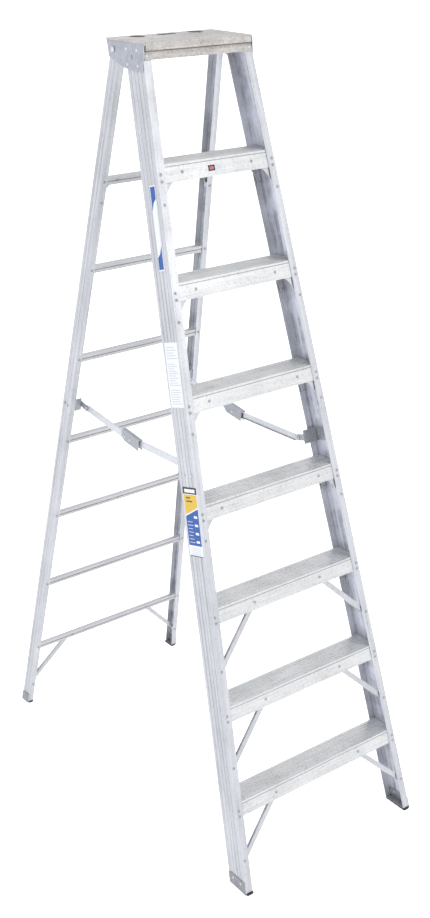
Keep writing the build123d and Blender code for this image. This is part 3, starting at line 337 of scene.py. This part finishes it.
# Colour of the painted shadow line along each nose.
NOSE_SHADOW_COLOUR = (0.16, 0.16, 0.17)
across_x = Vector((1, 0, 0))
front_lean = node_direction("front_rail_left")
steps = [name for name in nodes if name.startswith("step_") and name[5:].isdigit()]
step_metal = mill_aluminium(
    "step_metal", STEP_COLOUR, across_x, streaks=0.12, clouds=0.14, lines=0.05, width=0.006,
    stretch=30.0, crevice_shading=0.12, spots=0.16,
)
tree = step_metal.node_tree
shader = tree.nodes["Principled BSDF"]
place = put(tree, "ShaderNodeTexCoord").outputs["Object"]
upright = Vector((0, front_lean.y, front_lean.z)).normalized()
foot_y = min(vertex.co.y for vertex in nodes["front_rail_left"].data.vertices)
up_rail = put(
    tree, "ShaderNodeVectorMath", {"operation": "DOT_PRODUCT"}, i0=place, i1=upright
).outputs["Value"]
along_rail = maths(tree, "ADD", up_rail, NOSE_DROP - foot_y * upright.y)
turns = maths(tree, "FRACT", maths(tree, "DIVIDE", along_rail, STEP_PITCH))
away = maths(tree, "SUBTRACT", 0.5, maths(tree, "ABSOLUTE", maths(tree, "SUBTRACT", turns, 0.5)))
# Painted shadow line along each nose, repeated at every step's pitch.
nose = spread(
    tree, away, NOSE_HALF / STEP_PITCH, NOSE_CORE * NOSE_HALF / STEP_PITCH, 0.0, 0.7
)
clean = shader.inputs["Base Color"].links[0].from_socket
tree.links.new(blend(tree, nose, clean, NOSE_SHADOW_COLOUR), shader.inputs["Base Color"])
dress(step_metal, *steps)

# ---- braces and gussets ---------------------------------------------------------------------
# Pressed aluminium: channel braces from the lowest steps down to the rails, and flat gussets at
# the others. Rivets hold them to the rails and the aprons, and their edges are left as cut.
BRACE_COLOUR = (0.74, 0.75, 0.76)
stays = [
    "front_braces_left", "front_braces_right", "front_gussets", "rear_gussets",
    "rear_brace_left", "rear_brace_right", "rear_bar_gussets",
]
dress(mill_aluminium("brace_metal", BRACE_COLOUR, front_lean, stretch=8.0, clouds=0.16), *stays)

# ---- cap ------------------------------------------------------------------------------------
# A flat top with a lip front and rear and holes for tools, and a band below the front lip. Both
# have weathered to a warm grey, with long stains along them.
CAP_COLOUR = (0.80, 0.755, 0.70)
CAP_LIP = 0.019              # height of the lip; the band's upper edge is a seam below it
SEAM_DROP = 0.0005           # the stain's middle, below that seam
SEAM_HALF = 0.0022
SEAM_COLOUR = (0.20, 0.15, 0.11)
HOLES_IN = 0.032             # hole centres from the cap's rear edge
HOLES_REACH = 0.024          # a little more than a hole's radius
HOLES_OUT = 0.135            # both holes lie nearer to the middle than this
WALL_RISE = 0.8              # a face whose normal is less upright than this is a wall
# Near-black painted shade for the tool holes' walls.
HOLE_SHADE_COLOUR = (0.10, 0.10, 0.10)
cap_metal = mill_aluminium(
    "cap_metal", CAP_COLOUR, across_x, streaks=0.22, clouds=0.22, lines=0.12, rough=0.5,
    metal=0.35, width=0.007, stretch=14.0, spots=0.25, edge=0.25,
)
# A brown stain follows the seam between the lip and the band.
tree = cap_metal.node_tree
shader = tree.nodes["Principled BSDF"]
at = put(tree, "ShaderNodeSeparateXYZ", None, i0=put(tree, "ShaderNodeTexCoord").outputs["Object"])
seam = maths(tree, "SUBTRACT", at.outputs["Z"], cad_box[1].z - CAP_LIP - SEAM_DROP)
seam = spread(tree, maths(tree, "ABSOLUTE", seam), SEAM_HALF, 0.3 * SEAM_HALF, 0.0, 0.9)
clean = shader.inputs["Base Color"].links[0].from_socket
tree.links.new(blend(tree, seam, clean, SEAM_COLOUR), shader.inputs["Base Color"])
# The walls of the tool holes are painted near black, as painted shade inside the holes.
normal = put(
    tree, "ShaderNodeSeparateXYZ", None, i0=put(tree, "ShaderNodeTexCoord").outputs["Normal"]
)
wall = maths(tree, "LESS_THAN", maths(tree, "ABSOLUTE", normal.outputs["Z"]), WALL_RISE)
holes_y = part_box("top_cap")[1][1] - HOLES_IN
from_row = maths(tree, "ABSOLUTE", maths(tree, "SUBTRACT", at.outputs["Y"], holes_y))
near_row = maths(tree, "LESS_THAN", from_row, HOLES_REACH)
between = maths(tree, "LESS_THAN", maths(tree, "ABSOLUTE", at.outputs["X"]), HOLES_OUT)
inside_hole = maths(tree, "MULTIPLY", wall, maths(tree, "MULTIPLY", near_row, between))
hole_shade = maths(tree, "MULTIPLY", inside_hole, 0.9)
stain_and_shade = shader.inputs["Base Color"].links[0].from_socket
tree.links.new(blend(tree, hole_shade, stain_and_shade, HOLE_SHADE_COLOUR), shader.inputs["Base Color"])
dress(cap_metal, "top_cap", "cap_front_band")

# ---- side plates and boots ------------------------------------------------------------------
# Folded sheet steel, hot-dip galvanised, with the crystal pattern that zinc leaves as it sets. The
# plates carry the cap and the pivots, and the boots are riveted round the rails' lower ends, where
# they are knocked and get darker.
PLATE_ZINC = (0.47, 0.485, 0.52)
BOOT_ZINC = (0.34, 0.345, 0.36)


def galvanised(name, colour, cell=0.005, contrast=0.5, crevice_shading=0.7):
    """Hot-dip zinc: flat crystals of slightly different greys, with painted shade in the corners."""
    material, tree, shader = new_material(name)
    at = put(tree, "ShaderNodeTexCoord").outputs["Object"]
    cells = put(tree, "ShaderNodeTexVoronoi", None, Vector=at, Scale=1 / cell, Randomness=1.0)
    tone = put(tree, "ShaderNodeSeparateColor", None, i0=cells.outputs["Color"]).outputs["Red"]
    haze = put(tree, "ShaderNodeTexNoise", None, Vector=at, Scale=40.0, Detail=3.0).outputs[0]
    light = tuple(min(1.0, c * 1.25) for c in colour)
    dark = tuple(c * 0.8 for c in colour)
    mixed = blend(tree, spread(tree, tone, 0.0, 1.0, 0.5 - contrast / 2, 0.5 + contrast / 2), dark, light)
    mixed = blend(tree, spread(tree, haze, 0.4, 0.7, 0.0, 0.35), mixed, light)
    edge_wear_and_light = use(tree, edge_wear_and_highlight)["Mask"]
    # Edges are lightened, partly as wear and partly as a painted highlight.
    mixed = blend(tree, maths(tree, "MULTIPLY", edge_wear_and_light, 0.4), mixed, (0.85, 0.86, 0.88))
    # Painted shade in the corners, mixed towards near black.
    shaded_crevices = maths(tree, "MULTIPLY", use(tree, occlusion_shade, Reach=0.005)["Mask"], crevice_shading)
    mixed = blend(tree, shaded_crevices, mixed, (0.08, 0.08, 0.09))
    tree.links.new(mixed, shader.inputs["Base Color"])
    shader.inputs["Metallic"].default_value = 0.7
    tree.links.new(spread(tree, tone, 0.0, 1.0, 0.34, 0.5), shader.inputs["Roughness"])
    bump = put(tree, "ShaderNodeBump", None, Strength=0.1, Distance=0.0002, Height=haze)
    tree.links.new(bump.outputs[0], shader.inputs["Normal"])
    return material


dress(galvanised("galvanised_sheet", PLATE_ZINC), "side_plate_left", "side_plate_right")
boots = [name for name in nodes if "boot" in name]
dress(galvanised("boot_zinc", BOOT_ZINC, cell=0.006, contrast=0.9), *boots)

# ---- pivot bolts ----------------------------------------------------------------------------
# Zinc-plated bolts through the side plates and the rear rails. A nylon spacer keeps plate and rail
# apart, and a nut inside the rail holds the bolt.
dress(galvanised("zinc_plate", (0.66, 0.67, 0.68), cell=0.03), "pivot_bolts", "pivot_nuts")
nylon, tree, shader = new_material("nylon")
haze = put(tree, "ShaderNodeTexNoise", None, Scale=300.0).outputs[0]
tree.links.new(blend(tree, haze, (0.82, 0.81, 0.77), (0.9, 0.89, 0.86)), shader.inputs["Base Color"])
shader.inputs["Roughness"].default_value = 0.55
dress(nylon, "pivot_spacers")

# ---- rear section ---------------------------------------------------------------------------
# Two smaller aluminium channels joined by seven grooved bars, all extruded and left in mill
# finish. The bars are riveted to the flanges and are a little duller than the rails.
# Painted shade and blue tint, laid on the rear rails' inboard faces.
REAR_INSIDE_SHADE = (0.90, 0.92, 0.98)
BAR_COLOUR = (0.72, 0.72, 0.72)
for hand in ("left", "right"):
    rail = f"rear_rail_{hand}"
    metal = mill_aluminium(
        rail + "_metal", RAIL_COLOUR, node_direction(rail), REAR_INSIDE_SHADE, streaks=0.17,
        lines=0.09, clouds=0.12, width=0.010, stretch=45.0, crevice_shading=0.3,
    )
    dress(metal, rail)
bars = [name for name in nodes if name.startswith("rear_bar_") and name[9:].isdigit()]
dress(mill_aluminium("bar_metal", BAR_COLOUR, across_x, width=0.004), *bars)

# ---- spreaders ------------------------------------------------------------------------------
# Two bright zinc-plated steel arms a side, rolled into channels and jointed under a folded hood.
# Their outer ends turn on pins in brackets, which are galvanised like the hood and riveted to the
# rails.
ARM_ZINC = (0.70, 0.71, 0.73)
PIN_ZINC = (0.55, 0.56, 0.57)
FITTING_ZINC = (0.42, 0.43, 0.45)
linkage = [name for name in nodes if name.startswith("spreader")]
arms = [name for name in linkage if "arm" in name and "pin" not in name]
dress(galvanised("bright_zinc", ARM_ZINC, cell=0.02, contrast=0.12, crevice_shading=0.9), *arms)
pins = [name for name in linkage if "pin" in name]
dress(galvanised("pin_zinc", PIN_ZINC, cell=0.02), *pins)
fittings = [name for name in nodes if "bracket" in name or "hood" in name]
dress(galvanised("fitting_zinc", FITTING_ZINC, cell=0.004, contrast=0.6, crevice_shading=0.9), *fittings)

# ---- rivets ---------------------------------------------------------------------------------
# Aluminium blind rivets, with a low domed head, the broken stem's small pit in the middle of it
# and a bulged tail on the far side. Profiles are (radius, height) in millimetres.
RIVET_HEAD = [(4.4, 0.0), (4.35, 0.45), (3.9, 1.05), (3.0, 1.6), (1.9, 1.92), (1.2, 2.0), (1.0, 1.5)]
RIVET_TAIL = [(3.2, 0.0), (3.4, 0.35), (3.3, 0.8), (2.6, 1.12), (1.2, 1.2), (1.0, 0.9)]
HEAD_RISE = 0.002            # from the head's underside to the top of its dome
TAIL_RISE = 0.0012
RIVET_SIDES = 14
# Most rivets are painted much darker than the plate rivets, as painted shade, so that they show as dark
# dots.
SHADED_RIVET_COLOUR = (0.48, 0.49, 0.52)
PLATE_RIVET_COLOUR = (0.88, 0.89, 0.91)


def islands(name):
    """The separate solids of a CAD node, each as its corner points and its triangles."""
    mesh = bmesh.new()
    mesh.from_mesh(nodes[name].data)
    bmesh.ops.remove_doubles(mesh, verts=mesh.verts, dist=1e-6)
    seen, found = set(), []
    for start in mesh.faces:
        if start.index in seen:
            continue
        seen.add(start.index)
        reached = [start]
        for face in reached:
            for edge in face.edges:
                for other in edge.link_faces:
                    if other.index not in seen:
                        seen.add(other.index)
                        reached.append(other)
        points = {vertex.index: vertex.co.copy() for face in reached for vertex in face.verts}
        faces = [(face.normal.copy(), face.calc_area(), face.calc_center_median()) for face in reached]
        found.append((list(points.values()), faces))
    mesh.free()
    return found


def piece_of(name, mesh, *materials):
    """A finished mesh as an object in the scene."""
    data = bpy.data.meshes.new(name)
    mesh.to_mesh(data)
    mesh.free()
    for material in materials:
        data.materials.append(material)
    made_piece = bpy.data.objects.new(name, data)
    bpy.context.scene.collection.objects.link(made_piece)
    return made_piece


def turned(mesh, centre, axis, profile):
    """A round shape from a profile of (radius, height) in millimetres, closed in the middle."""
    first = axis.orthogonal().normalized()
    second = axis.cross(first)
    rings = []
    for radius, height in profile:
        ring = []
        for i in range(RIVET_SIDES):
            a = 2 * pi * i / RIVET_SIDES
            spoke = (first * cos(a) + second * sin(a)) * radius
            ring.append(mesh.verts.new(centre + (spoke + axis * height) * 0.001))
        rings.append(ring)
    for inner, outer in zip(rings[1:], rings):
        for i in range(RIVET_SIDES):
            j = (i + 1) % RIVET_SIDES
            mesh.faces.new([outer[i], outer[j], inner[j], inner[i]]).smooth = True
    mesh.faces.new(rings[-1])
    mesh.faces.new(rings[0][::-1])


rivet_metal = mill_aluminium(
    "rivet_metal", SHADED_RIVET_COLOUR, across_x, streaks=0.15, clouds=0.15, rough=0.42, crevice_shading=0.8,
)
plate_rivet_metal = mill_aluminium(
    "plate_rivet_metal", PLATE_RIVET_COLOUR, across_x, streaks=0.15, clouds=0.15, rough=0.36,
    crevice_shading=0.3,
)
for name in [name for name in nodes if name.endswith("_rivets")]:
    mesh = bmesh.new()
    for points, faces in islands(name):
        centre = sum(points, Vector()) / len(points)
        ends = {}
        for normal, area, place in faces:
            for axis in ends:
                if normal.dot(Vector(axis)) > 0.999:
                    ends[axis] += area
                    break
            else:
                ends[tuple(normal)] = area
        # The underside of the head and the end of the tail are the largest flat area.
        head = -Vector(max(ends, key=ends.get))
        reach = [(p - centre).dot(head) for p in points]
        turned(mesh, centre + head * (max(reach) - HEAD_RISE), head, RIVET_HEAD)
        turned(mesh, centre + head * (min(reach) + TAIL_RISE), -head, RIVET_TAIL)
    metal = plate_rivet_metal if name == "front_rivets" else rivet_metal
    rivet_piece = piece_of(name + "_formed", mesh, metal)
    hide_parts(name)
    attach(rivet_piece, "rear_section" if name == "rear_rivets" else "front_section")

# ---- feet -----------------------------------------------------------------------------------
# Moulded black rubber pads with grooves across the sole, fixed under the boots. They are the only
# pieces that touch the floor.
rubber, tree, shader = new_material("pad_rubber")
haze = put(tree, "ShaderNodeTexNoise", None, Scale=180.0, Detail=4.0).outputs[0]
tree.links.new(blend(tree, haze, (0.02, 0.02, 0.022), (0.06, 0.06, 0.06)), shader.inputs["Base Color"])
shader.inputs["Roughness"].default_value = 0.8
dress(rubber, "front_pads", "rear_pads")

# ---- labels ---------------------------------------------------------------------------------
# Printed film on the left web and on the top step's apron, in plain fields of colour without any
# lettering. Each is a thin white backing with the fields laid on it.
FILM = 0.00022               # thickness of the backing
INK = 0.00006                # and of each layer laid on it
WEB_SIDE = Vector((-1, 0, 0))
OUTWARD = {
    "name_strip": WEB_SIDE, "spec_label": WEB_SIDE, "duty_label": WEB_SIDE,
    "step_label": Vector((0, -1, 0)),
}
ON_WEB = -0.15               # labels on the web lie further left than this, the step's doesn't
label_paints = {}
for paint, colour in (
    ("white", (0.90, 0.91, 0.93)), ("black", (0.02, 0.02, 0.025)), ("blue", (0.02, 0.10, 0.40)),
    ("yellow", (0.80, 0.52, 0.05)), ("grey", (0.62, 0.64, 0.67)), ("red", (0.55, 0.10, 0.09)),
    ("bare", (0.74, 0.75, 0.77)),
):
    label_paints[paint], tree, shader = new_material("label_" + paint)
    haze = put(tree, "ShaderNodeTexNoise", None, Scale=120.0, Detail=3.0).outputs[0]
    scuffed = tuple(0.85 * c + 0.10 for c in colour)
    edge_wear_and_light = use(tree, edge_wear_and_highlight, Radius=0.0006)["Mask"]
    shade = blend(tree, spread(tree, haze, 0.45, 0.75, 0.0, 0.6), colour, scuffed)
    # Label edges are lightened, partly as wear and partly as a painted highlight.
    shade = blend(tree, maths(tree, "MULTIPLY", edge_wear_and_light, 0.3), shade, (0.8, 0.8, 0.8))
    tree.links.new(shade, shader.inputs["Base Color"])
    tree.links.new(spread(tree, haze, 0.3, 0.7, 0.35, 0.55), shader.inputs["Roughness"])


def printed(name, island, along, fields):
    """A label: fields are (paint, layer, outline), outlines as parts of its width and length."""
    points, faces = island
    fronts = [face for face in faces if face[0].dot(OUTWARD[name]) > 0.5]
    out = max(fronts, key=lambda face: face[1])[0]
    run = (along - out * along.dot(out)).normalized()
    side = run.cross(out)
    low = [min(p.dot(axis) for p in points) for axis in (side, run, out)]
    high = [max(p.dot(axis) for p in points) for axis in (side, run, out)]
    size = [b - a for a, b in zip(low, high)]
    paints = list(dict.fromkeys(field[0] for field in fields))
    mesh = bmesh.new()
    for paint, layer, outline in fields:
        base = low[2] if layer == 0 else low[2] + FILM + INK * (layer - 1)
        top = low[2] + FILM + INK * layer
        rings = []
        for level in (base, top):
            rings.append([
                mesh.verts.new(
                    side * (low[0] + u * size[0]) + run * (low[1] + v * size[1]) + out * level
                )
                for u, v in outline
            ])
        faces_made = [mesh.faces.new(rings[1]), mesh.faces.new(rings[0][::-1])]
        for i in range(len(outline)):
            j = (i + 1) % len(outline)
            faces_made.append(mesh.faces.new([rings[0][i], rings[0][j], rings[1][j], rings[1][i]]))
        for face in faces_made:
            face.material_index = paints.index(paint)
    bmesh.ops.recalc_face_normals(mesh, faces=mesh.faces)
    return piece_of(name, mesh, *[label_paints[paint] for paint in paints])


def box_outline(u0, v0, u1, v1):
    """Rectangle on a label."""
    return [(u0, v0), (u1, v0), (u1, v1), (u0, v1)]


def rows(paint, u0, u1, v0, v1, count, part=0.35, ragged=0.0):
    """Printed rules across a label, standing for its small print."""
    pitch = (v1 - v0) / count
    lines = []
    for i in range(count):
        end = u1 - ragged * (u1 - u0) * ((i * 7 % 5) / 5)
        lines.append((paint, 2, box_outline(u0, v0 + i * pitch, end, v0 + (i + part) * pitch)))
    return lines


strip = [
    ("white", 0, box_outline(0, 0, 1, 1)),
    ("blue", 1, [(0.06, 0.70), (0.45, 0.80), (0.94, 0.84), (0.94, 0.985), (0.06, 0.985)]),
    ("blue", 1, [(0.06, 0.015), (0.94, 0.015), (0.94, 0.30), (0.55, 0.20), (0.06, 0.16)]),
    ("grey", 1, box_outline(0.06, 0.18, 0.11, 0.72)),
    ("grey", 1, box_outline(0.89, 0.28, 0.94, 0.82)),
]
spec = [("white", 0, box_outline(0, 0, 1, 1))]
spec += rows("grey", 0.08, 0.92, 0.05, 0.30, 7, ragged=0.3)
spec += rows("grey", 0.08, 0.92, 0.34, 0.70, 10, ragged=0.5)
spec += rows("grey", 0.08, 0.92, 0.75, 0.96, 5, ragged=0.4)
duty = [
    ("white", 0, box_outline(0, 0, 1, 1)),
    ("black", 1, box_outline(0.0, 0.905, 1.0, 1.0)),
    ("white", 2, box_outline(0.12, 0.925, 0.88, 0.975)),
    ("yellow", 1, [(0.03, 0.60), (0.97, 0.72), (0.97, 0.895), (0.03, 0.895)]),
    ("blue", 1, [(0.03, 0.16), (0.97, 0.16), (0.97, 0.70), (0.03, 0.58)]),
    ("black", 1, box_outline(0.03, 0.0, 0.97, 0.012)),
]
duty += rows("grey", 0.15, 0.85, 0.03, 0.14, 4)
duty += [
    ("black", 2, box_outline(0.18, 0.79, 0.62, 0.81)),
    ("black", 2, box_outline(0.18, 0.84, 0.5, 0.86)),
]
duty += [("white", 2, box_outline(0.62, v, 0.86, v + 0.035)) for v in (0.20, 0.32, 0.44, 0.56)]
duty += rows("grey", 0.12, 0.52, 0.2, 0.55, 7, part=0.2, ragged=0.3)
step_fields = [
    ("bare", 0, box_outline(0, 0, 1, 1)),
    ("black", 1, box_outline(0.0, 0.08, 0.46, 0.92)),
    ("red", 2, [(0.07, 0.5), (0.12, 0.26), (0.34, 0.26), (0.40, 0.5), (0.34, 0.74), (0.12, 0.74)]),
]
step_fields += [("grey", 1, box_outline(0.52, v, 0.95, v + 0.09)) for v in (0.3, 0.5, 0.7)]

found = sorted(islands("labels"), key=lambda island: max(p.z for p in island[0]))
on_web = [island for island in found if max(p.x for p in island[0]) < ON_WEB]
on_step = [island for island in found if max(p.x for p in island[0]) > ON_WEB]
label_pieces = [
    printed("duty_label", on_web[0], front_lean, duty),
    printed("spec_label", on_web[1], front_lean, spec),
    printed("name_strip", on_web[2], front_lean, strip),
    printed("step_label", on_step[0], across_x, [
        (paint, layer, [(1 - v, u) for u, v in outline]) for paint, layer, outline in step_fields
    ]),
]
for label_piece in label_pieces:
    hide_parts("labels")
    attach(label_piece, "front_section")
